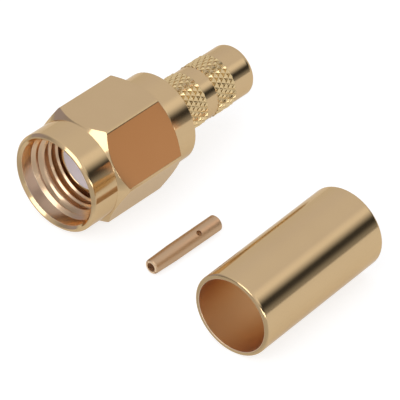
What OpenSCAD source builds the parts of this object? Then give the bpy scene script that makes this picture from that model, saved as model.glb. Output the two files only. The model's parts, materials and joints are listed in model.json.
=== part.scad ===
// Straight crimp plug of the sub-miniature 1/4-36 coaxial size, for 5 mm cable.
// The plug lies on one flat of its coupling nut. Its centre contact and its
// crimp ferrule are still loose and lie beside it on the same surface.
// Depths inside the plug are counted from the rim of the nut towards the cable.
// The origin is the middle of the set, on the surface that it lies on.

/* [Coupling nut] */
// Hexagon across its flats
nut_af = 8; // [7.95:0.05:8.3]
// Length of the nut, rim to rear face
nut_length = 8.85; // [8.75:0.05:8.9]
// Diameter of the round collar in front of the hexagon
collar_d = 7.84; // [7.7:0.02:7.94]
// Depth at which the corners of the hexagon start
hex_start = 3.05; // [2.7:0.05:3.5]
// Radius of the long edges of the hexagon
nut_edge_round = 0.3; // [0.1:0.05:0.5]
// Diameter of the rear face, inside the rear chamfer
rear_face_d = 7.66; // [7.4:0.02:7.8]
// Slope of the rear chamfer against the rear face
rear_chamfer_angle = 33; // [25:1:40]
// Diameter of the plain mouth
mouth_d = 6.84; // [6.7:0.02:7]
// Depth of the plain mouth
mouth_depth = 1.15; // [0.95:0.05:1.3]
// Width of the bevel inside the rim
mouth_bevel = 0.2; // [0.05:0.01:0.24]
// Width of the bevel outside the rim
rim_bevel = 0.19; // [0.05:0.01:0.22]
// Major diameter of the coupling thread
thread_d = 6.35; // [6.3:0.01:6.4]
// Radial play of the nut on the barrel
nut_play = 0.05; // [0.03:0.01:0.09]

/* [Retaining ring] */
// Depth of the front side of the ring groove
groove_depth = 6.3; // [5.95:0.05:6.55]
// Width of the ring groove
groove_w = 0.55; // [0.5:0.05:0.6]
// Thickness of the ring along the axis
ring_t = 0.45; // [0.4:0.01:0.46]
// Width of the gap in the ring
ring_gap = 1.3; // [0.8:0.1:2]

/* [Body] */
// Depth of the mating plane below the rim of the nut
plane_depth = 3.05; // [2.85:0.05:3.15]
// Outer diameter of the contact sleeve
sleeve_d = 4.6; // [4.55:0.01:4.64]
// Inner diameter of the contact sleeve
sleeve_bore_d = 4.12; // [4.08:0.01:4.16]
// Length of the contact sleeve in front of the barrel
sleeve_length = 1.9; // [1.85:0.01:1.95]
// Diameter of the barrel that the nut turns on
barrel_d = 5.7; // [5.6:0.02:5.74]
// Gap between the rear face of the nut and the flange
flange_gap = 0.15; // [0.1:0.01:0.25]
// Diameter of the flange
flange_d = 7.12; // [6.8:0.02:7.4]
// Thickness of the flange
flange_t = 2.08; // [1.6:0.02:2.6]
// Diameter of the smooth crimp stem
stem_d = 4.16; // [4.1:0.02:4.2]
// Length of the crimp stem
stem_length = 8.15; // [7.8:0.01:9]
// Diameter of the cable bore
cable_bore_d = 3; // [2.9:0.02:3.1]

/* [Knurl] */
// Number of diamonds round the stem
knurl_count = 30; // [20:1:34]
// Diameter over the points of the diamonds
knurl_d = 4.3; // [4.26:0.02:4.44]
// Angle of the grooves to the axis
knurl_angle = 31; // [28:1:36]
// Half diamonds along each band
knurl_rows = 5; // [3:1:5]
// Distance from the flange to the first band
knurl_first = 1; // [0.6:0.05:1.2]
// Smooth length between the bands
knurl_space = 1.15; // [0.8:0.05:1.4]

/* [Dielectric] */
// Diameter of the hole that the mating pin enters by
entry_d = 1; // [0.95:0.01:1.05]
// Thickness of the web that stops the contact
web_t = 0.5; // [0.3:0.05:0.8]

/* [Centre contact] */
// Diameter of the contact
contact_d = 1.27; // [1.24:0.01:1.29]
// Length of the contact
contact_length = 6.9; // [6.4:0.1:7]
// Diameter of the nose, where the tines close
nose_d = 1.15; // [1.08:0.01:1.2]
// Length of the slotted tines
tine_length = 2.2; // [1.8:0.1:2.6]
// Diameter of the socket
socket_d = 0.94; // [0.9:0.01:0.96]
// Diameter of the hole in the nose, where the tines grip
grip_d = 0.7; // [0.66:0.01:0.8]
// Width of the slots between the tines
slot_w = 0.08; // [0.06:0.01:0.14]
// Diameter of the cup for the cable's conductor
cup_d = 0.98; // [0.9:0.01:1]
// Depth of the cup
cup_depth = 2.6; // [2.5:0.1:3]
// Diameter of the inspection hole
inspection_d = 0.42; // [0.3:0.02:0.44]
// Distance of the inspection hole from the rear end
inspection_place = 2.2; // [1.8:0.1:2.2]

/* [Crimp ferrule] */
// Outer diameter of the ferrule
ferrule_d = 6.4; // [6.3:0.02:6.6]
// Inner diameter of the ferrule
ferrule_bore_d = 5.7; // [5.5:0.02:5.76]
// Length of the ferrule
ferrule_length = 12.95; // [12:0.05:14]

/* [Layout] */
// Sideways distance of the contact's nose from the plug's axis
contact_side = 8.67; // [7:0.01:9.5]
// Distance of the contact's nose behind the plug's rim
contact_back = 0.66; // [0:0.01:2]
// Turn of the contact against the plug, in degrees
contact_turn = 0.6; // [-3:0.05:3]
// Sideways distance of the ferrule's front from the plug's axis
ferrule_side = 18.66; // [17.5:0.01:20]
// Distance of the ferrule's front behind the plug's rim
ferrule_back = -2.03; // [-4:0.01:-0.5]
// Turn of the ferrule against the plug, in degrees
ferrule_turn = 3.1; // [0:0.1:5]

/* [Hidden] */

$fn = 96;
gold = [0.83, 0.69, 0.47];
past = 1;            // how far a cutting tool runs past a face
edge = 0.1;          // usual broken edge
fine_edge = 0.05;    // broken edge of a thin wall

// Nut
nut_r = nut_af / 2;
corner_r = (nut_r - nut_edge_round) / cos(30) + nut_edge_round;
collar_r = collar_d / 2;
rim_round = 0.15;
chamfer_angle = 45;
thread_start = mouth_depth + (mouth_d - thread_d) / 2;
barrel_r = barrel_d / 2;
nut_bore_r = barrel_r + nut_play;

// Depths along the plug
barrel_start = plane_depth + sleeve_length;
thread_end = barrel_start - 0.2;
groove_end = groove_depth + groove_w;
flange_start = nut_length + flange_gap;
stem_start = flange_start + flange_t;
stem_end = stem_start + stem_length;

// Ring and gasket
ring_seat_r = barrel_r - 0.45;
ring_r = nut_bore_r + 0.25;
groove_r = ring_r + 0.1;
gasket_r = 2.72;
gasket_t = 0.6;

// Stem
stem_r = stem_d / 2;
stem_round = 0.5;
knurl_root_r = stem_r + 0.01;
knurl_core_r = (stem_d + cable_bore_d) / 4;
knurl_w = PI * knurl_d / knurl_count;
knurl_half = knurl_w / tan(knurl_angle) / 2;
knurl_length = knurl_rows * knurl_half;

// Contact
contact_r = contact_d / 2;
contact_play = 0.01;
socket_depth = tine_length + 0.8;
drill_angle = 59;
// The inspection hole and the slots lie across each other
inspection_turn = 55;
slot_turn = inspection_turn + 90;

// The set reaches from the nut's left corner to the ferrule's right side, and
// from the ferrule's front edge to the end of the stem
ferrule_r = ferrule_d / 2;
ferrule_round = 0.18;
right_end = ferrule_side + ferrule_r * cos(ferrule_turn);
front_end = ferrule_back - ferrule_r * sin(ferrule_turn);
mid_x = (right_end - corner_r) / 2;
mid_y = (stem_end + front_end) / 2;

// Points of an arc from angle a to angle b about [x, y]
function arc(x, y, r, a, b, steps = 6) =
    [for (i = [0 : steps]) let (t = a + (b - a) * i / steps) [x + r * cos(t), y + r * sin(t)]];

// Lays a turned piece on its side: its axis runs along +Y, at height h
module lay(side, back, h, turn = 0)
    translate([side - mid_x, back - mid_y, h])
        rotate([0, 0, turn])
            rotate([-90, 0, 0])
                children();

// Turned piece from its profile of [radius, depth] points
module turned(profile)
    rotate_extrude()
        polygon(profile);

// Outside of the nut: bevelled rim, collar, front chamfer and rear chamfer
module nut_outside() {
    over_r = corner_r + 0.3;
    rim_end = rim_bevel + rim_round * tan(22.5);
    chamfer_start = hex_start - (corner_r - collar_r) / tan(chamfer_angle);
    front_over = hex_start + (over_r - corner_r) / tan(chamfer_angle);
    rear_r = rear_face_d / 2;
    rear_over = nut_length - (over_r - rear_r) * tan(rear_chamfer_angle);
    turned(concat(
        [[0, 0], [collar_r - rim_bevel, 0]],
        arc(collar_r - rim_round, rim_end, rim_round, -45, 0, 4),
        [
            [collar_r, chamfer_start],
            [over_r, front_over],
            [over_r, rear_over],
            [rear_r, nut_length],
            [0, nut_length]
        ]));
}

// Hexagon of the nut with its long edges rounded
module nut_hexagon()
    linear_extrude(nut_length)
        offset(r = nut_edge_round, $fn = 48)
            circle(r = (nut_r - nut_edge_round) / cos(30), $fn = 6);

// Inside of the nut: mouth, thread bore at its major diameter, running bore
// with the ring groove
module nut_inside() {
    mouth_r = mouth_d / 2;
    turned([
        [0, -past],
        [mouth_r + mouth_bevel + past, -past],
        [mouth_r, mouth_bevel],
        [mouth_r, mouth_depth],
        [thread_d / 2, thread_start],
        [thread_d / 2, thread_end],
        [nut_bore_r, thread_end],
        [nut_bore_r, groove_depth],
        [groove_r, groove_depth],
        [groove_r, groove_end],
        [nut_bore_r, groove_end],
        [nut_bore_r, nut_length - edge],
        [nut_bore_r + edge, nut_length],
        [nut_bore_r + edge, nut_length + past],
        [0, nut_length + past]]);
}

module coupling_nut() {
    color(gold)
        lay(0, 0, nut_r)
            difference() {
                intersection() {
                    nut_hexagon();
                    nut_outside();
                }
                nut_inside();
            }
}

module retaining_ring() {
    ring_start = groove_depth + (groove_w - ring_t) / 2;
    color([0.80, 0.60, 0.36])
        lay(0, 0, nut_r)
            difference() {
                turned([
                    [ring_seat_r, ring_start],
                    [ring_r - fine_edge, ring_start],
                    [ring_r, ring_start + fine_edge],
                    [ring_r, ring_start + ring_t - fine_edge],
                    [ring_r - fine_edge, ring_start + ring_t],
                    [ring_seat_r, ring_start + ring_t]]);
                translate([0, -ring_gap / 2, ring_start - past])
                    cube([ring_r + past, ring_gap, ring_t + 2 * past]);
            }
}

module sealing_gasket() {
    gasket_start = barrel_start - gasket_t;
    color([0.75, 0.22, 0.12])
        lay(0, 0, nut_r)
            turned(concat(
                [[sleeve_d / 2, barrel_start], [sleeve_d / 2, gasket_start]],
                arc(gasket_r - edge, gasket_start + edge, edge, -90, 0, 4),
                [[gasket_r, barrel_start]]));
}

// One knurled band: a ring whose outside is a net of pyramids. The net has a
// groove crossing and a point by turns, along the band and round it, and each
// groove is the shared edge of two triangles.
module knurl_band(start) {
    n = 2 * knurl_count;
    point_r = knurl_d / 2;
    net = [for (k = [0 : knurl_rows], j = [0 : n - 1])
        let (r = (j + k) % 2 == 0 ? knurl_root_r : point_r, t = 360 * j / n)
        [r * cos(t), r * sin(t), start + k * knurl_half]];
    core = [for (k = [0, knurl_rows], j = [0 : n - 1])
        let (t = 360 * j / n)
        [knurl_core_r * cos(t), knurl_core_r * sin(t), start + k * knurl_half]];
    front = len(net);
    rear = front + n;
    last = knurl_rows * n;
    outside = [for (k = [0 : knurl_rows - 1], j = [0 : n - 1])
        let (a = k * n + j, b = k * n + (j + 1) % n, c = a + n, d = b + n)
        each (j + k) % 2 == 0 ? [[a, d, b], [a, c, d]] : [[a, c, b], [b, c, d]]];
    sides = [for (j = [0 : n - 1])
        let (next = (j + 1) % n)
        each [
            [front + j, j, next, front + next],
            [rear + j, rear + next, last + next, last + j],
            [front + j, front + next, rear + next, rear + j]]];
    polyhedron(concat(net, core), concat(outside, sides));
}

module connector_body() {
    sleeve_r = sleeve_d / 2;
    sleeve_bore_r = sleeve_bore_d / 2;
    bore_r = cable_bore_d / 2;
    flange_r = flange_d / 2;
    color(gold)
        lay(0, 0, nut_r)
            union() {
                turned(concat(
                    [
                        [sleeve_bore_r + fine_edge, plane_depth],
                        [sleeve_r - fine_edge, plane_depth],
                        [sleeve_r, plane_depth + fine_edge],
                        [sleeve_r, barrel_start],
                        [barrel_r - edge, barrel_start],
                        [barrel_r, barrel_start + edge],
                        [barrel_r, groove_depth],
                        [ring_seat_r, groove_depth],
                        [ring_seat_r, groove_end],
                        [barrel_r, groove_end],
                        [barrel_r, flange_start],
                        [flange_r - edge, flange_start],
                        [flange_r, flange_start + edge],
                        [flange_r, stem_start - edge],
                        [flange_r - edge, stem_start],
                        [stem_r, stem_start]
                    ],
                    arc(stem_r - stem_round, stem_end - stem_round, stem_round, 0, 90, 8),
                    [
                        [bore_r, stem_end],
                        [bore_r, flange_start],
                        [sleeve_bore_r, flange_start],
                        [sleeve_bore_r, plane_depth + fine_edge]
                    ]));
                knurl_band(stem_start + knurl_first);
                knurl_band(stem_start + knurl_first + knurl_length + knurl_space);
            }
}

module dielectric() {
    chamber_r = contact_r + contact_play;
    stop = plane_depth + web_t;
    color([0.93, 0.92, 0.94])
        lay(0, 0, nut_r)
            turned([
                [entry_d / 2 + fine_edge, plane_depth],
                [sleeve_bore_d / 2 - fine_edge, plane_depth],
                [sleeve_bore_d / 2, plane_depth + fine_edge],
                [sleeve_bore_d / 2, flange_start],
                [chamber_r, flange_start],
                [chamber_r, stop],
                [entry_d / 2, stop],
                [entry_d / 2, plane_depth + fine_edge]]);
}

module center_contact() {
    nose_r = nose_d / 2;
    socket_r = socket_d / 2;
    nose_round = 0.16;
    cup_r = cup_d / 2;
    cup_start = contact_length - cup_depth;
    color([0.78, 0.62, 0.42])
        lay(contact_side, contact_back, contact_r, contact_turn)
            difference() {
                turned(concat(
                    [[0, 0]],
                    arc(nose_r - nose_round, nose_round, nose_round, -90, 0, 6),
                    [
                        [contact_r, tine_length],
                        [contact_r, contact_length - fine_edge],
                        [contact_r - fine_edge, contact_length],
                        [0, contact_length]
                    ]));
                // Socket, closed in at the nose as the tines are
                turned([
                    [0, -past],
                    [grip_d / 2, -past],
                    [grip_d / 2, nose_round],
                    [socket_r, tine_length],
                    [socket_r, socket_depth],
                    [0, socket_depth + socket_r / tan(drill_angle)]]);
                // Cup for the conductor
                turned([
                    [0, cup_start - cup_r / tan(drill_angle)],
                    [cup_r, cup_start],
                    [cup_r, contact_length + past],
                    [0, contact_length + past]]);
                rotate([0, 0, -slot_turn])
                    translate([-past, -slot_w / 2, -past])
                        cube([2 * past, slot_w, past + tine_length]);
                rotate([0, 0, -inspection_turn])
                    translate([0, 0, contact_length - inspection_place])
                        rotate([0, 90, 0])
                            cylinder(d = inspection_d, h = contact_d);
            }
}

module crimp_ferrule() {
    bore_r = ferrule_bore_d / 2;
    color(gold)
        lay(ferrule_side, ferrule_back, ferrule_r, ferrule_turn)
            turned(concat(
                arc(ferrule_r - ferrule_round, ferrule_round, ferrule_round, -90, 0, 5),
                arc(ferrule_r - ferrule_round, ferrule_length - ferrule_round, ferrule_round, 0, 90, 5),
                arc(bore_r + fine_edge, ferrule_length - fine_edge, fine_edge, 90, 180, 3),
                arc(bore_r + fine_edge, fine_edge, fine_edge, 180, 270, 3)));
}

coupling_nut();
retaining_ring();
sealing_gasket();
connector_body();
dielectric();
center_contact();
crimp_ferrule();
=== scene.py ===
"""Finish of a straight crimp plug with its loose contact and ferrule.

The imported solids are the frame. This add-on gives them their metal, plastic and
rubber, adds the ridge of the coupling thread, and sets up a small studio.
"""

import json
import math

import bmesh
import bpy
from bpy.props import FloatProperty, FloatVectorProperty, IntProperty, PointerProperty
from bpy.types import Operator, Panel, PropertyGroup
from mathutils import Matrix, Vector


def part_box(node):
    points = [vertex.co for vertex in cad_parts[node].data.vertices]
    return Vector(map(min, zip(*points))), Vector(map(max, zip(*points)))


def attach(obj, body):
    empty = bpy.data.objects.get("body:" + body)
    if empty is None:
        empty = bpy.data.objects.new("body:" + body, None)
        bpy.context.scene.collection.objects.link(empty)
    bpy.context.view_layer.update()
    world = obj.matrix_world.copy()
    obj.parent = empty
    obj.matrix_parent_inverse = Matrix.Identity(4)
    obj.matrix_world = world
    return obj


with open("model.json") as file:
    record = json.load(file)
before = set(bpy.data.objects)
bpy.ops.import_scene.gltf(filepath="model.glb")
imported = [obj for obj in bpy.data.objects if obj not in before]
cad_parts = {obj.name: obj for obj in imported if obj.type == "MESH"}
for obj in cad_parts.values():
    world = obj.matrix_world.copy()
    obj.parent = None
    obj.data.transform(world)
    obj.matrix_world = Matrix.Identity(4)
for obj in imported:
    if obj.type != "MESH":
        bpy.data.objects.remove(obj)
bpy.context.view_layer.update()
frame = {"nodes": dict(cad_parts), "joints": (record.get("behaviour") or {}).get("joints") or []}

bl_info = {
    "name": "Crimp plug finish",
    "version": (1, 0, 0),
    "blender": (4, 5, 0),
    "location": "3D View > Sidebar > Crimp plug",
    "description": "Finishes, coupling thread and studio for a straight crimp plug",
    "category": "Object",
}

MM = 0.001
COUPLING = frame["joints"][0]
AXIS = Vector(COUPLING["pos_m"])
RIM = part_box("coupling_nut")[0].y
SUNK = 0.02 * MM  # how deep an added piece sits in the wall that carries it
SKIN = 0.004 * MM  # how far a piece that is cut back stands off its wall
EDGE_TINT = (0.93, 0.84, 0.71, 1)  # what plated metal keeps of its sheen at a low angle

# Radii that the bores' colours and roughness reach to. Their colours are painted light and shade;
# their roughness is the duller plate inside
MOUTH_REACH = 3.43 * MM  # just outside the wall of the nut's mouth
CONE_REACH = 3.40 * MM  # just inside it: the countersink and all that lies behind
FERRULE_REACH = 2.9 * MM
CONTACT_REACH = 0.5 * MM  # socket and cup

# How the loose pieces lie, turned against the plug's axis
FERRULE_TURN = math.radians(3.1)
CONTACT_TURN = math.radians(0.6)

# How many times the roughness of the polished gold these have
BORE_DULL = 1.9
CONTACT_DULL = 3.6

# Roughness that the knurled bands add, and that the ring and the contact's bores have
KNURL_ROUGHER = 0.06
RING_ROUGH = 0.3
SOCKET_ROUGH = 0.5

FLANK = math.radians(30)  # slope of the thread's flanks
LOWER_LEFT = math.radians(226)  # where round the bore the thread's phase is given
CREASE = 0.2  # edges of the thread that bend by more, in radians, are kept sharp

BOUNCES = 24  # light finds its way out of the bores only after many reflections


def linear(red, green, blue):
    """A colour written in display values from 0 to 255, as linear values."""
    return tuple(
        (c / 255 / 12.92) if c <= 10 else ((c / 255 + 0.055) / 1.055) ** 2.4
        for c in (red, green, blue)
    )


# --------------------------------------------------------------------------
# Sizes and colours that a user would change
# --------------------------------------------------------------------------


class ThreadSizes(PropertyGroup):
    """Ridge of the coupling thread inside the nut."""

    pitch: FloatProperty(
        name="Pitch",
        description="Distance between two turns of the thread",
        default=25.4 / 36 * MM,
        unit="LENGTH",
        precision=5,
    )
    crest_radius: FloatProperty(
        name="Crest radius",
        description="Radius to the crest of the ridge",
        default=2.80 * MM,
        unit="LENGTH",
        precision=5,
    )
    root_radius: FloatProperty(
        name="Root radius",
        description="Radius of the wall that the ridge stands on",
        default=3.175 * MM,
        unit="LENGTH",
        precision=5,
    )
    mouth_radius: FloatProperty(
        name="Mouth radius",
        description="Radius of the plain mouth, where the countersink starts",
        default=3.42 * MM,
        unit="LENGTH",
        precision=5,
    )
    mouth_depth: FloatProperty(
        name="Mouth depth",
        description="Depth below the rim at which the countersink starts",
        default=1.15 * MM,
        unit="LENGTH",
        precision=5,
    )
    first_depth: FloatProperty(
        name="First depth",
        description="Depth below the rim at which the ridge starts",
        default=1.55 * MM,
        unit="LENGTH",
        precision=5,
    )
    last_depth: FloatProperty(
        name="Last depth",
        description="Depth below the rim at which the thread ends",
        default=4.95 * MM,
        unit="LENGTH",
        precision=5,
    )
    phase: FloatProperty(
        name="Phase",
        description="Depth of a crest on the lower left of the bore, below the rim",
        default=1.81 * MM,
        unit="LENGTH",
        precision=5,
    )
    bevel: FloatProperty(
        name="Bevel",
        description="Width of the bevel between the front flank and the crest",
        default=0.13 * MM,
        unit="LENGTH",
        precision=5,
    )
    land: FloatProperty(
        name="Land",
        description="Width of the flat on the crest",
        default=0.05 * MM,
        unit="LENGTH",
        precision=5,
    )
    run_in: FloatProperty(
        name="Run-in",
        description="Angle over which the ridge rises to its full height",
        default=math.radians(60),
        subtype="ANGLE",
    )
    steps: IntProperty(
        name="Steps", description="Steps in each turn", default=96, min=24, max=256
    )


class KnurlSizes(PropertyGroup):
    """Net of the diamond knurl on the crimp stem."""

    # Painted sheen: the knurled bands are drawn in a paler copy of the gold plate, in place of
    # their glints
    plate: FloatVectorProperty(
        name="Plate",
        description="Colour of the plate on the knurled bands",
        default=linear(226, 200, 152),
        subtype="COLOR",
        size=3,
        min=0,
        max=1,
    )
    count: IntProperty(
        name="Diamonds", description="Diamonds round the stem", default=30, min=8, max=60
    )
    row: FloatProperty(
        name="Row",
        description="Half the length of a diamond",
        default=0.37471 * MM,
        unit="LENGTH",
        precision=6,
    )
    front: FloatProperty(
        name="Front band",
        description="Start of the front band behind the rim",
        default=12.08 * MM,
        unit="LENGTH",
        precision=5,
    )
    rear: FloatProperty(
        name="Rear band",
        description="Start of the rear band behind the rim",
        default=15.1035 * MM,
        unit="LENGTH",
        precision=6,
    )
    rows: IntProperty(name="Rows", description="Rows of half diamonds in a band", default=5)
    depth: FloatProperty(
        name="Depth",
        description="How much deeper than the solid's the grooves look",
        default=0.08 * MM,
        unit="LENGTH",
        precision=5,
    )


class MetalColours(PropertyGroup):
    """Plated and plain metals."""

    gold: FloatVectorProperty(
        name="Gold plate",
        description="Colour of the polished gold plate",
        default=linear(214, 184, 140),
        subtype="COLOR",
        size=3,
        min=0,
        max=1,
    )
    contact: FloatVectorProperty(
        name="Contact gold",
        description="Colour of the duller plate on the centre contact",
        default=linear(204, 172, 138),
        subtype="COLOR",
        size=3,
        min=0,
        max=1,
    )
    bronze: FloatVectorProperty(
        name="Ring bronze",
        description="Colour of the bare retaining ring",
        default=linear(196, 146, 96),
        subtype="COLOR",
        size=3,
        min=0,
        max=1,
    )
    # Painted light: the mouth's wall is drawn in a paler copy of the gold plate
    bore: FloatVectorProperty(
        name="Bore",
        description="Colour of the plate on the wall of the nut's mouth",
        default=linear(240, 219, 190),
        subtype="COLOR",
        size=3,
        min=0,
        max=1,
    )
    # Painted light and shade: the countersink, the thread and its bore are drawn paler than the
    # outside gold and darker than the mouth's wall
    thread: FloatVectorProperty(
        name="Thread",
        description="Colour of the plate on the countersink, the thread and its bore",
        default=linear(220, 188, 154),
        subtype="COLOR",
        size=3,
        min=0,
        max=1,
    )
    # Painted light: the inside of the ferrule and the contact's socket are drawn in a paler copy
    # of the gold plate
    ferrule_bore: FloatVectorProperty(
        name="Ferrule bore",
        description="Colour of the plate inside the ferrule and the contact",
        default=linear(242, 214, 180),
        subtype="COLOR",
        size=3,
        min=0,
        max=1,
    )
    bore_gloss: FloatProperty(
        name="Bore roughness",
        description="Mean roughness of the plate inside the ferrule",
        default=0.34,
        min=0.02,
        max=1,
        subtype="FACTOR",
    )
    gloss: FloatProperty(
        name="Roughness",
        description="Mean roughness of the gold plate",
        default=0.12,
        min=0.02,
        max=1,
        subtype="FACTOR",
    )
    edge: FloatProperty(
        name="Edge radius",
        description="Radius that the plated edges are softened to",
        default=0.05 * MM,
        unit="LENGTH",
        precision=5,
    )


class SoftColours(PropertyGroup):
    """Plastic and rubber."""

    dielectric: FloatVectorProperty(
        name="Dielectric",
        description="Colour of the white fluoropolymer",
        default=linear(250, 240, 245),
        subtype="COLOR",
        size=3,
        min=0,
        max=1,
    )
    gasket: FloatVectorProperty(
        name="Gasket",
        description="Colour of the silicone gasket",
        default=linear(226, 142, 98),
        subtype="COLOR",
        size=3,
        min=0,
        max=1,
    )


class StudioSetting(PropertyGroup):
    """Light, floor and camera."""

    surround: FloatProperty(
        name="Surround",
        description="Brightness of the studio around the set",
        default=1.0,
        min=0,
    )
    floor: FloatProperty(
        name="Floor in reflections",
        description="Brightness of the floor as the metal shows it",
        default=0.52,
        min=0,
    )
    key: FloatProperty(
        name="Key light",
        description="Brightness of the soft box in front of the set",
        default=1.95,
        min=0,
    )
    strip: FloatProperty(
        name="Strip light",
        description="Brightness of the low strip on the right of the set",
        default=3.0,
        min=0,
    )
    lens: FloatProperty(
        name="Lens", description="Focal length", default=353.96, min=50, max=1000
    )
    distance: FloatProperty(
        name="Distance",
        description="Distance of the camera from its aim",
        default=281.46 * MM,
        unit="LENGTH",
        precision=5,
    )
    azimuth: FloatProperty(
        name="Azimuth",
        description="Angle of the camera round the set",
        default=math.radians(42.463),
        subtype="ANGLE",
    )
    elevation: FloatProperty(
        name="Elevation",
        description="Angle of the camera above the floor",
        default=math.radians(36.982),
        subtype="ANGLE",
    )
    roll: FloatProperty(
        name="Roll",
        description="Turn of the camera about its view line",
        default=math.radians(0.427),
        subtype="ANGLE",
    )
    aim: FloatVectorProperty(
        name="Aim",
        description="Point that the camera looks at",
        default=(-1.8821 * MM, -0.6039 * MM, 1.5417 * MM),
        size=3,
        subtype="TRANSLATION",
        precision=5,
    )


# --------------------------------------------------------------------------
# Materials
# --------------------------------------------------------------------------


class Nodes:
    """A material's or world's node tree, filled a node at a time."""

    def __init__(self, owner):
        owner.use_nodes = True
        self.tree = owner.node_tree
        self.tree.nodes.clear()

    def add(self, kind, inputs=None, **settings):
        """Adds a node, sets its properties and inputs, and links the inputs that are sockets."""
        node = self.tree.nodes.new(kind)
        for name, value in settings.items():
            setattr(node, name, value)
        for name, value in (inputs or {}).items():
            if isinstance(value, bpy.types.NodeSocket):
                self.tree.links.new(value, node.inputs[name])
            else:
                node.inputs[name].default_value = value
        return node

    def ramp(self, factor, stops):
        """A colour ramp through (place, colour) stops."""
        node = self.add("ShaderNodeValToRGB", {"Fac": factor})
        elements = node.color_ramp.elements
        while len(elements) > 1:
            elements.remove(elements[-1])
        elements[0].position, elements[0].color = stops[0][0], (*stops[0][1], 1)
        for place, colour in stops[1:]:
            elements.new(place).color = (*colour, 1)
        return node.outputs["Color"]

    def mix(self, factor, a, b):
        """Two colours mixed by a factor."""
        node = self.add("ShaderNodeMix", data_type="RGBA")
        for socket, value in zip(
            (node.inputs[0], node.inputs[6], node.inputs[7]), (factor, a, b)
        ):
            if isinstance(value, bpy.types.NodeSocket):
                self.tree.links.new(value, socket)
            else:
                socket.default_value = (
                    (*value, 1) if isinstance(value, tuple) else value
                )
        return node.outputs[2]

    def math(self, operation, a, b=0.0, clamp=False):
        """One sum on two numbers."""
        node = self.add("ShaderNodeMath", operation=operation, use_clamp=clamp)
        for socket, value in zip(node.inputs, (a, b)):
            if isinstance(value, bpy.types.NodeSocket):
                self.tree.links.new(value, socket)
            else:
                socket.default_value = value
        return node.outputs[0]


def tinted(colour, factor):
    """A colour made lighter or darker."""
    return tuple(min(1, c * factor) for c in colour)


def knurl_relief(nodes, place, knurl, normal):
    """A normal whose grooves follow the knurl's net, and a mask that is 1 on its bands."""
    split = nodes.add("ShaderNodeSeparateXYZ", {"Vector": place}).outputs
    depth = split["Y"]
    length = knurl.rows * knurl.row

    def band(start):
        return nodes.math(
            "LESS_THAN",
            nodes.math("ABSOLUTE", nodes.math("SUBTRACT", depth, start + length / 2)),
            length / 2,
        )

    rear = band(knurl.rear)
    inside = nodes.math("ADD", band(knurl.front), rear)
    shift = nodes.math("MULTIPLY", rear, knurl.rear - knurl.front)
    along = nodes.math("SUBTRACT", nodes.math("SUBTRACT", depth, knurl.front), shift)
    along = nodes.math("DIVIDE", along, knurl.row * 2)
    turn = nodes.math("ARCTAN2", split["Z"], split["X"])
    turn = nodes.math("MULTIPLY", turn, knurl.count / (2 * math.pi))
    right = nodes.math("PINGPONG", nodes.math("ADD", turn, along), 0.5)
    left = nodes.math("PINGPONG", nodes.math("SUBTRACT", turn, along), 0.5)
    height = nodes.math("MULTIPLY", nodes.math("MINIMUM", right, left), inside)
    relief = nodes.add(
        "ShaderNodeBump",
        {"Height": height, "Strength": 1.0, "Distance": 2 * knurl.depth, "Normal": normal},
    ).outputs[0]
    return relief, inside


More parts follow.
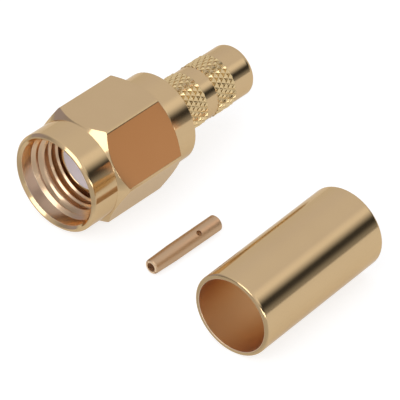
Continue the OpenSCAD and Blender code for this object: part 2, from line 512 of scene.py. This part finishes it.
def turned_metal(
    name, colour, roughness, edge, centre, turn=0.0, marks=1.0, bores=(), knurl=None
):
    """Plated turned metal: fine turning marks round the axis through centre, faint
    clouding of tone and gloss, and softened edges drawn a little paler: a painted sheen on the
    edges.
    Each of the bores gives a radius, and the colour and roughness within it: the colour is painted
    light and shade, the roughness a duller plate. A narrower bore follows the wider one that it
    lies in.
    With the sizes of a knurl, its bands look deeper cut and less polished, and are drawn paler as
    a painted sheen."""
    material = bpy.data.materials.new(name)
    nodes = Nodes(material)
    place = nodes.add("ShaderNodeTexCoord").outputs["Object"]
    place = nodes.add(
        "ShaderNodeMapping",
        {"Vector": place, "Location": [-c for c in centre]},
        vector_type="POINT",
    ).outputs[0]
    place = nodes.add(
        "ShaderNodeMapping", {"Vector": place, "Rotation": (0, 0, -turn)}
    ).outputs[0]
    # Marks of the lathe: close along the axis, long round it
    stretched = nodes.add(
        "ShaderNodeMapping", {"Vector": place, "Scale": (350, 14000, 350)}
    ).outputs[0]
    lathe = nodes.add(
        "ShaderNodeTexNoise",
        {"Vector": stretched, "Scale": 1.0, "Detail": 3.0, "Roughness": 0.55},
    ).outputs["Fac"]
    cloud = nodes.add(
        "ShaderNodeTexNoise",
        {"Vector": place, "Scale": 420.0, "Detail": 3.0, "Roughness": 0.5},
    ).outputs["Fac"]
    pits = nodes.add(
        "ShaderNodeTexNoise",
        {"Vector": place, "Scale": 9000.0, "Detail": 2.0, "Roughness": 0.6},
    ).outputs["Fac"]
    soft = nodes.add("ShaderNodeBevel", {"Radius": edge}, samples=4).outputs["Normal"]
    geometry = nodes.add("ShaderNodeNewGeometry")
    apart = nodes.add("ShaderNodeVectorMath", operation="DOT_PRODUCT")
    nodes.tree.links.new(soft, apart.inputs[0])
    nodes.tree.links.new(geometry.outputs["Normal"], apart.inputs[1])
    # Painted sheen: where the softened edge turns away from the face, the plate is drawn paler
    painted_edge_sheen = nodes.math(
        "MULTIPLY",
        nodes.math("SUBTRACT", 1.0, apart.outputs["Value"]),
        2.5,
        clamp=True,
    )
    cooler = tuple(min(1, c * f) for c, f in zip(colour, (1.02, 1.03, 1.05)))
    tone = nodes.mix(cloud, tinted(colour, 0.97), cooler)
    # Painted sheen on the edges: a paler copy of the plate
    tone = nodes.mix(painted_edge_sheen, tone, tinted(colour, 1.12))
    gloss = nodes.add(
        "ShaderNodeMapRange",
        {
            "Value": nodes.mix(0.5, cloud, lathe),
            "From Min": 0.3,
            "From Max": 0.7,
            "To Min": roughness * 0.85,
            "To Max": roughness * 1.15,
        },
    ).outputs[0]
    if bores:
        across = nodes.add(
            "ShaderNodeVectorMath", {0: place, 1: (1, 0, 1)}, operation="MULTIPLY"
        ).outputs[0]
        out = nodes.add(
            "ShaderNodeVectorMath", {0: across}, operation="LENGTH"
        ).outputs["Value"]
    # Painted light and shade: each bore swaps in its own copy of the plate's colour, along with
    # its roughness
    for radius, bore_colour, bore_roughness in bores:
        inside = nodes.math("LESS_THAN", out, radius)
        tone = nodes.mix(inside, tone, nodes.mix(cloud, tinted(bore_colour, 0.94), bore_colour))
        gloss = nodes.math(
            "ADD", gloss, nodes.math("MULTIPLY", inside, bore_roughness - roughness)
        )
        roughness = bore_roughness
    if knurl:
        soft, inside = knurl_relief(nodes, place, knurl, soft)
        gloss = nodes.math("ADD", gloss, nodes.math("MULTIPLY", inside, KNURL_ROUGHER))
        # Painted sheen: a paler plate on the knurled bands
        tone = nodes.mix(inside, tone, tuple(knurl.plate))
    relief = nodes.add(
        "ShaderNodeBump",
        {
            "Height": nodes.mix(0.35, lathe, pits),
            "Strength": 0.05 * marks,
            "Distance": 0.02 * MM,
            "Normal": soft,
        },
    ).outputs[0]
    shader = nodes.add(
        "ShaderNodeBsdfPrincipled",
        {
            "Base Color": tone,
            "Metallic": 1.0,
            "Roughness": gloss,
            "Specular Tint": EDGE_TINT,
            "Normal": relief,
        },
    )
    nodes.add("ShaderNodeOutputMaterial", {"Surface": shader.outputs[0]})
    return material


def dress(node, material):
    """Gives a solid of the frame its finish."""
    solid = frame["nodes"][node]
    solid.data.materials.clear()
    solid.data.materials.append(material)


def new_piece(name, bm, body, material):
    """Makes a piece of the object from a bmesh."""
    mesh = bpy.data.meshes.new(name)
    bm.to_mesh(mesh)
    bm.free()
    piece = bpy.data.objects.new(name, mesh)
    bpy.context.scene.collection.objects.link(piece)
    mesh.materials.append(material)
    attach(piece, body)
    return piece


# --------------------------------------------------------------------------
# Operators
# --------------------------------------------------------------------------


class PLUG_OT_gold(Operator):
    """Gold plate on the nut, the body and the ferrule"""

    bl_idname = "plug.gold"
    bl_label = "Gold plate"

    def execute(self, context):
        metal = context.scene.plug_metal
        dress(
            "coupling_nut",
            turned_metal(
                "nut_gold",
                tuple(metal.gold),
                metal.gloss,
                metal.edge,
                AXIS,
                # Painted light on the mouth's wall, painted light and shade on the countersink and
                # thread
                bores=(
                    (MOUTH_REACH, tuple(metal.bore), metal.gloss * BORE_DULL),
                    (CONE_REACH, tuple(metal.thread), metal.gloss * BORE_DULL),
                ),
            ),
        )
        dress(
            "connector_body",
            turned_metal(
                "body_gold",
                tuple(metal.gold),
                metal.gloss,
                metal.edge,
                AXIS,
                knurl=context.scene.plug_knurl,
            ),
        )
        low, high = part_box("crimp_ferrule")
        dress(
            "crimp_ferrule",
            turned_metal(
                "ferrule_gold",
                tuple(metal.gold),
                metal.gloss,
                metal.edge,
                (low + high) / 2,
                FERRULE_TURN,
                # Painted light inside the ferrule
                bores=((FERRULE_REACH, tuple(metal.ferrule_bore), metal.bore_gloss),),
            ),
        )
        return {"FINISHED"}


class PLUG_OT_contact(Operator):
    """Duller gold on the loose centre contact"""

    bl_idname = "plug.contact"
    bl_label = "Centre contact"

    def execute(self, context):
        metal = context.scene.plug_metal
        low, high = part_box("center_contact")
        dress(
            "center_contact",
            turned_metal(
                "contact_gold",
                tuple(metal.contact),
                metal.gloss * CONTACT_DULL,
                metal.edge * 0.6,
                (low + high) / 2,
                CONTACT_TURN,
                marks=0.8,
                # Painted light inside the contact's socket and cup
                bores=((CONTACT_REACH, tuple(metal.ferrule_bore), SOCKET_ROUGH),),
            ),
        )
        return {"FINISHED"}


class PLUG_OT_thread(Operator):
    """Right-hand ridge of the coupling thread inside the nut"""

    bl_idname = "plug.thread"
    bl_label = "Coupling thread"

    def execute(self, context):
        size, metal = context.scene.plug_thread, context.scene.plug_metal
        pitch, crest, foot = size.pitch, size.crest_radius, size.root_radius + SUNK
        flank = math.tan(FLANK)
        half = size.land / 2
        front = half + size.bevel
        outline = [
            (-front - (foot - crest - size.bevel) * flank, foot),
            (-front, crest + size.bevel),
            (-half, crest),
            (half, crest),
            (half + (foot - crest) * flank, foot),
        ]
        start = size.first_depth
        turns = (size.last_depth - start) / pitch
        # A crest has to pass the lower left of the bore at the given depth
        first = LOWER_LEFT + 2 * math.pi * (size.phase - start) / pitch
        bm = bmesh.new()
        corners = [
            bm.verts.new((AXIS.x + r, RIM + start + w, AXIS.z)) for w, r in outline
        ]
        bm.faces.new(corners)
        bmesh.ops.rotate(
            bm,
            verts=corners,
            cent=AXIS,
            matrix=Matrix.Rotation(-first, 3, "Y"),
        )
        steps = round(size.steps * turns)
        bmesh.ops.spin(
            bm,
            geom=bm.faces[:] + bm.edges[:] + bm.verts[:],
            cent=AXIS,
            axis=(0, 1, 0),
            dvec=(0, (size.last_depth - start) / steps, 0),
            angle=2 * math.pi * turns,
            steps=steps,
        )
        self.fit_to_wall(bm, size, len(corners), 2 * math.pi * turns / steps)
        bmesh.ops.recalc_face_normals(bm, faces=bm.faces[:])
        for each in bm.faces:
            each.smooth = True
        for edge in bm.edges:
            if len(edge.link_faces) == 2 and edge.calc_face_angle(0) > CREASE:
                edge.smooth = False
        new_piece(
            "coupling_thread",
            bm,
            COUPLING["child"],
            # Painted light and shade: the thread has the countersink's copy of the plate colour,
            # paler than the outside gold and darker than the mouth's wall
            turned_metal(
                "thread_gold", tuple(metal.thread), metal.gloss * BORE_DULL, metal.edge, AXIS
            ),
        )
        return {"FINISHED"}

    def fit_to_wall(self, bm, size, row, step):
        """Lets the ridge rise along its run-in, and cuts its first turn back to the countersink.

        The spin has made its vertices a row of the outline at a time.
        """
        foot = size.root_radius + SUNK
        bm.verts.index_update()
        for vert in bm.verts:
            depth = vert.co.y - RIM
            across = Vector((vert.co.x - AXIS.x, 0, vert.co.z - AXIS.z))
            rise = min(1, vert.index // row * step / size.run_in)
            radius = foot + (across.length - foot) * rise
            radius = max(radius, size.mouth_radius - (depth - size.mouth_depth) + SKIN)
            across *= radius / across.length
            vert.co.x, vert.co.z = AXIS.x + across.x, AXIS.z + across.z


class PLUG_OT_insulators(Operator):
    """White dielectric, silicone gasket and bronze retaining ring"""

    bl_idname = "plug.insulators"
    bl_label = "Dielectric, gasket and ring"

    def execute(self, context):
        soft = context.scene.plug_soft
        metal = context.scene.plug_metal
        self.plastic("dielectric_white", tuple(soft.dielectric))
        self.rubber("gasket_silicone", tuple(soft.gasket))
        dress(
            "retaining_ring",
            turned_metal("ring_bronze", tuple(metal.bronze), RING_ROUGH, metal.edge, AXIS),
        )
        return {"FINISHED"}

    def plastic(self, name, colour):
        """Machined fluoropolymer: waxy, with fine turning rings on its face."""
        material = bpy.data.materials.new(name)
        nodes = Nodes(material)
        place = nodes.add("ShaderNodeTexCoord").outputs["Object"]
        place = nodes.add(
            "ShaderNodeMapping", {"Vector": place, "Location": [-c for c in AXIS]}
        ).outputs[0]
        rings = nodes.add(
            "ShaderNodeTexWave",
            {"Vector": place, "Scale": 2600.0, "Distortion": 1.5, "Detail": 2.0},
            wave_type="RINGS",
            rings_direction="Y",
        ).outputs["Fac"]
        cloud = nodes.add(
            "ShaderNodeTexNoise", {"Vector": place, "Scale": 900.0, "Detail": 3.0}
        ).outputs["Fac"]
        tone = nodes.mix(cloud, tinted(colour, 0.94), colour)
        relief = nodes.add(
            "ShaderNodeBump",
            {"Height": rings, "Strength": 0.25, "Distance": 0.004 * MM},
        ).outputs[0]
        shader = nodes.add(
            "ShaderNodeBsdfPrincipled",
            {
                "Base Color": tone,
                "Roughness": nodes.math("ADD", 0.38, nodes.math("MULTIPLY", cloud, 0.14)),
                "Subsurface Weight": 0.25,
                "Subsurface Radius": (1.0, 0.9, 0.85),
                "Subsurface Scale": 0.3 * MM,
                "Normal": relief,
            },
        )
        nodes.add("ShaderNodeOutputMaterial", {"Surface": shader.outputs[0]})
        dress("dielectric", material)

    def rubber(self, name, colour):
        """Moulded silicone rubber with a fine bloom."""
        material = bpy.data.materials.new(name)
        nodes = Nodes(material)
        place = nodes.add("ShaderNodeTexCoord").outputs["Object"]
        bloom = nodes.add(
            "ShaderNodeTexNoise", {"Vector": place, "Scale": 2500.0, "Detail": 4.0}
        ).outputs["Fac"]
        tone = nodes.mix(bloom, tinted(colour, 0.85), tinted(colour, 1.1))
        relief = nodes.add(
            "ShaderNodeBump",
            {"Height": bloom, "Strength": 0.2, "Distance": 0.01 * MM},
        ).outputs[0]
        shader = nodes.add(
            "ShaderNodeBsdfPrincipled",
            {
                "Base Color": tone,
                "Roughness": nodes.math("ADD", 0.5, nodes.math("MULTIPLY", bloom, 0.2)),
                "Normal": relief,
            },
        )
        nodes.add("ShaderNodeOutputMaterial", {"Surface": shader.outputs[0]})
        dress("sealing_gasket", material)


class PLUG_OT_studio(Operator):
    """White floor, soft surround, key light, warm side light and camera"""

    bl_idname = "plug.studio"
    bl_label = "Studio"

    def execute(self, context):
        setting = context.scene.plug_studio
        self.floor(setting)
        self.surround(context, setting)
        self.key_light(setting)
        self.side_light()
        self.camera(context, setting)
        return {"FINISHED"}

    def sheet(self, name, corners, material):
        """A flat stage piece through its corners."""
        bm = bmesh.new()
        bm.faces.new([bm.verts.new(c) for c in corners])
        mesh = bpy.data.meshes.new(name)
        bm.to_mesh(mesh)
        bm.free()
        mesh.materials.append(material)
        sheet = bpy.data.objects.new(name, mesh)
        bpy.context.scene.collection.objects.link(sheet)

    def floor(self, setting):
        """White floor. It keeps the set's soft shadow, and shows in the metal as a pale field,
        which is darker in front of the set than behind it: a painted shadow that only reflections
        show."""
        glow_seen, glow_front = 0.75, 0.45  # what the camera sees, and the share of the glow left in front under the painted shadow
        front, back = -13 * MM, -9 * MM
        material = bpy.data.materials.new("floor_white")
        nodes = Nodes(material)
        path = nodes.add("ShaderNodeLightPath")
        place = nodes.add("ShaderNodeTexCoord").outputs["Object"]
        grain = nodes.add(
            "ShaderNodeTexNoise", {"Vector": place, "Scale": 1500.0, "Detail": 3.0}
        ).outputs["Fac"]
        paper = nodes.add(
            "ShaderNodeBsdfDiffuse",
            {"Color": nodes.mix(grain, (0.38, 0.38, 0.38), (0.42, 0.42, 0.42))},
        )
        seen = nodes.add(
            "ShaderNodeEmission",
            {
                "Color": (1, 1, 1, 1),
                "Strength": nodes.math("MULTIPLY", path.outputs["Is Camera Ray"], glow_seen),
            },
        )
        lit = nodes.add("ShaderNodeAddShader")
        nodes.tree.links.new(paper.outputs[0], lit.inputs[0])
        nodes.tree.links.new(seen.outputs[0], lit.inputs[1])
        # Painted shadow: in reflections the floor's glow drops towards the front of the set
        behind = nodes.add(
            "ShaderNodeMapRange",
            {
                "Value": nodes.add("ShaderNodeSeparateXYZ", {"Vector": place}).outputs["Y"],
                "From Min": front,
                "From Max": back,
                "To Min": glow_front,
                "To Max": 1.0,
            },
            interpolation_type="SMOOTHSTEP",
        ).outputs[0]
        glow = nodes.add(
            "ShaderNodeEmission",
            {"Color": (1, 1, 1, 1), "Strength": nodes.math("MULTIPLY", behind, setting.floor)},
        )
        shown = nodes.add("ShaderNodeAddShader")
        nodes.tree.links.new(paper.outputs[0], shown.inputs[0])
        nodes.tree.links.new(glow.outputs[0], shown.inputs[1])
        either = nodes.add("ShaderNodeMixShader", {"Fac": path.outputs["Is Glossy Ray"]})
        nodes.tree.links.new(lit.outputs[0], either.inputs[1])
        nodes.tree.links.new(shown.outputs[0], either.inputs[2])
        nodes.add("ShaderNodeOutputMaterial", {"Surface": either.outputs[0]})
        reach, drop = 1.5, -0.002 * MM
        corners = [(-reach, -reach), (reach, -reach), (reach, reach), (-reach, reach)]
        self.sheet("floor", [(x, y, drop) for x, y in corners], material)

    def surround(self, context, setting):
        """Pale studio, white to the camera, with a dark side on the right and a dim corner on the
        left. Reflections also show a shade in front of the set, which dims no other surface."""
        world = context.scene.world or bpy.data.worlds.new("studio")
        context.scene.world = world
        nodes = Nodes(world)
        path = nodes.add("ShaderNodeLightPath")
        way = nodes.add("ShaderNodeTexCoord").outputs["Generated"]
        split = nodes.add("ShaderNodeSeparateXYZ", {"Vector": way}).outputs
        height = nodes.math("MULTIPLY", nodes.math("ADD", split["Z"], 1.0), 0.5)

        def grey(z, level, tint=(1, 1, 1)):
            return ((z + 1) / 2, tuple(level * t for t in tint))

        plain = nodes.ramp(
            height, [grey(-1, 0.7), grey(0, 0.74), grey(0.6, 0.76, (1, 1, 1.06)), grey(1, 0.84)]
        )
        dark = nodes.ramp(
            height,
            [
                grey(-0.1, 0.55),
                grey(0.0, 0.36),
                grey(0.12, 0.26),
                grey(0.21, 0.10),
                grey(0.27, 0.045),
                grey(0.36, 0.045),
                grey(0.42, 0.22),
                grey(0.50, 0.60),
                grey(0.58, 0.96),
                grey(0.70, 1.04),
                grey(0.78, 0.90),
                grey(1, 0.84),
            ],
        )
        dim = nodes.ramp(
            height,
            [
                grey(-0.05, 0.7),
                grey(0.02, 0.42, (1, 1, 1.4)),
                grey(0.35, 0.42, (1, 0.98, 1.3)),
                grey(0.75, 0.66),
                grey(1, 0.84),
            ],
        )
        shade = nodes.ramp(
            height,
            [
                grey(-0.05, 0.7),
                grey(0.03, 0.3),
                grey(0.5, 0.3),
                grey(0.7, 0.7),
                grey(1, 0.84),
            ],
        )

        def side(azimuth, start, stop):
            """How far a direction points to one side: 0 where its share towards the azimuth is
            start, and 1 from stop on."""
            a = math.radians(azimuth)
            toward = nodes.add(
                "ShaderNodeVectorMath", {0: way, 1: (math.sin(a), math.cos(a), 0)},
                operation="DOT_PRODUCT",
            ).outputs["Value"]
            return nodes.add(
                "ShaderNodeMapRange",
                {"Value": toward, "From Min": start, "From Max": stop},
                interpolation_type="SMOOTHSTEP",
            ).outputs[0]

        light = nodes.mix(side(75, 0.40, 0.62), plain, dark)
        light = nodes.mix(side(-112, 0.55, 0.85), light, dim)
        front = nodes.math("MULTIPLY", side(-150, 0.74, 0.86), path.outputs["Is Glossy Ray"])
        light = nodes.mix(front, light, shade)
        light = nodes.mix(path.outputs["Is Camera Ray"], light, (1.0, 1.0, 1.0))
        back = nodes.add(
            "ShaderNodeBackground", {"Color": light, "Strength": setting.surround}
        )
        nodes.add("ShaderNodeOutputWorld", {"Surface": back.outputs[0]})

    def key_light(self, setting):
        """Soft box in front of the set, and a low strip on its right for the metal alone."""
        aim = Vector((0, 0, 0))
        white = (1, 1, 1)
        self.lamp(
            "key_light",
            white,
            setting.key,
            wide=0.145,
            tall=0.165,
            aim=aim,
            azimuth=173,
            elevation=40,
            distance=0.25,
        )
        strip = self.lamp(
            "strip_light",
            white,
            setting.strip,
            wide=0.26,
            tall=0.05,
            aim=aim,
            azimuth=112,
            elevation=7,
            distance=0.25,
        )
        strip.visible_diffuse = False

    def lamp(self, name, colour, brightness, wide, tall, aim, azimuth, elevation, distance):
        """A rectangular light of the given brightness. It stands at a distance from its aim, at an
        azimuth and an elevation in degrees, and faces it."""
        lamp = bpy.data.lights.new(name, "AREA")
        lamp.shape, lamp.size, lamp.size_y = "RECTANGLE", wide, tall
        lamp.color = colour
        lamp.energy = brightness * math.pi * wide * tall
        azimuth, elevation = math.radians(azimuth), math.radians(elevation)
        way = Vector(
            (
                math.sin(azimuth) * math.cos(elevation),
                math.cos(azimuth) * math.cos(elevation),
                math.sin(elevation),
            )
        )
        holder = bpy.data.objects.new(name, lamp)
        holder.location = aim + way * distance
        holder.rotation_mode = "QUATERNION"
        holder.rotation_quaternion = way.to_track_quat("Z", "Y")
        bpy.context.scene.collection.objects.link(holder)
        return holder

    def side_light(self):
        """Small warm light that only reflections show, beyond the right-hand flat of the nut."""
        # Middle of the flat, from the nut's axis and rim
        right, behind, up = 3.464 * MM, 5.75 * MM, 2.0 * MM
        light = self.lamp(
            "side_light",
            (1.0, 0.53, 0.29),
            0.49,
            wide=6.2 * MM,
            tall=6 * MM,
            aim=Vector((AXIS.x + right, RIM + behind, AXIS.z + up)),
            azimuth=53.3,
            elevation=9.6,
            distance=12 * MM,
        )
        light.visible_diffuse = False

    def camera(self, context, setting):
        """Long lens, above and in front of the mating end."""
        a, e, roll = setting.azimuth, setting.elevation, setting.roll
        back = Vector((math.sin(a) * math.cos(e), -math.cos(a) * math.cos(e), math.sin(e)))
        right = Vector((math.cos(a), math.sin(a), 0))
        up = back.cross(right)
        side = right * math.cos(roll) - up * math.sin(roll)
        top = right * math.sin(roll) + up * math.cos(roll)
        camera = bpy.data.cameras.new("camera")
        camera.lens, camera.sensor_width = setting.lens, 36
        camera.clip_start, camera.clip_end = 0.01, 10
        holder = bpy.data.objects.new("camera", camera)
        bpy.context.scene.collection.objects.link(holder)
        place = Vector(setting.aim) + back * setting.distance
        holder.matrix_world = Matrix(
            [(*row, at) for row, at in zip(Matrix((side, top, back)).transposed(), place)]
            + [(0, 0, 0, 1)]
        )
        context.scene.camera = holder
        context.scene.view_settings.view_transform = "Standard"
        context.scene.cycles.max_bounces = BOUNCES
        context.scene.cycles.glossy_bounces = BOUNCES


OPERATORS = (
    PLUG_OT_gold,
    PLUG_OT_contact,
    PLUG_OT_thread,
    PLUG_OT_insulators,
    PLUG_OT_studio,
)


class PLUG_PT_panel(Panel):
    """Steps of the finish, in order"""

    bl_idname = "PLUG_PT_panel"
    bl_label = "Crimp plug"
    bl_space_type = "VIEW_3D"
    bl_region_type = "UI"
    bl_category = "Crimp plug"

    def draw(self, context):
        scene = context.scene
        for operator in OPERATORS:
            self.layout.operator(operator.bl_idname)
        for group in (getattr(scene, name) for name in GROUPS):
            box = self.layout.box()
            box.label(text=group.bl_rna.name)
            for name in group.__annotations__:
                box.prop(group, name)


GROUPS = {
    "plug_thread": ThreadSizes,
    "plug_knurl": KnurlSizes,
    "plug_metal": MetalColours,
    "plug_soft": SoftColours,
    "plug_studio": StudioSetting,
}


def register():
    for group in GROUPS.values():
        bpy.utils.register_class(group)
    for operator in OPERATORS:
        bpy.utils.register_class(operator)
    bpy.utils.register_class(PLUG_PT_panel)
    for name, group in GROUPS.items():
        setattr(bpy.types.Scene, name, PointerProperty(type=group))


def unregister():
    for name in GROUPS:
        delattr(bpy.types.Scene, name)
    bpy.utils.unregister_class(PLUG_PT_panel)
    for operator in reversed(OPERATORS):
        bpy.utils.unregister_class(operator)
    for group in reversed(list(GROUPS.values())):
        bpy.utils.unregister_class(group)


def main():
    register()
    bpy.ops.plug.gold()
    bpy.ops.plug.contact()
    bpy.ops.plug.thread()
    bpy.ops.plug.insulators()
    bpy.ops.plug.studio()


if __name__ == "__main__":
    main()
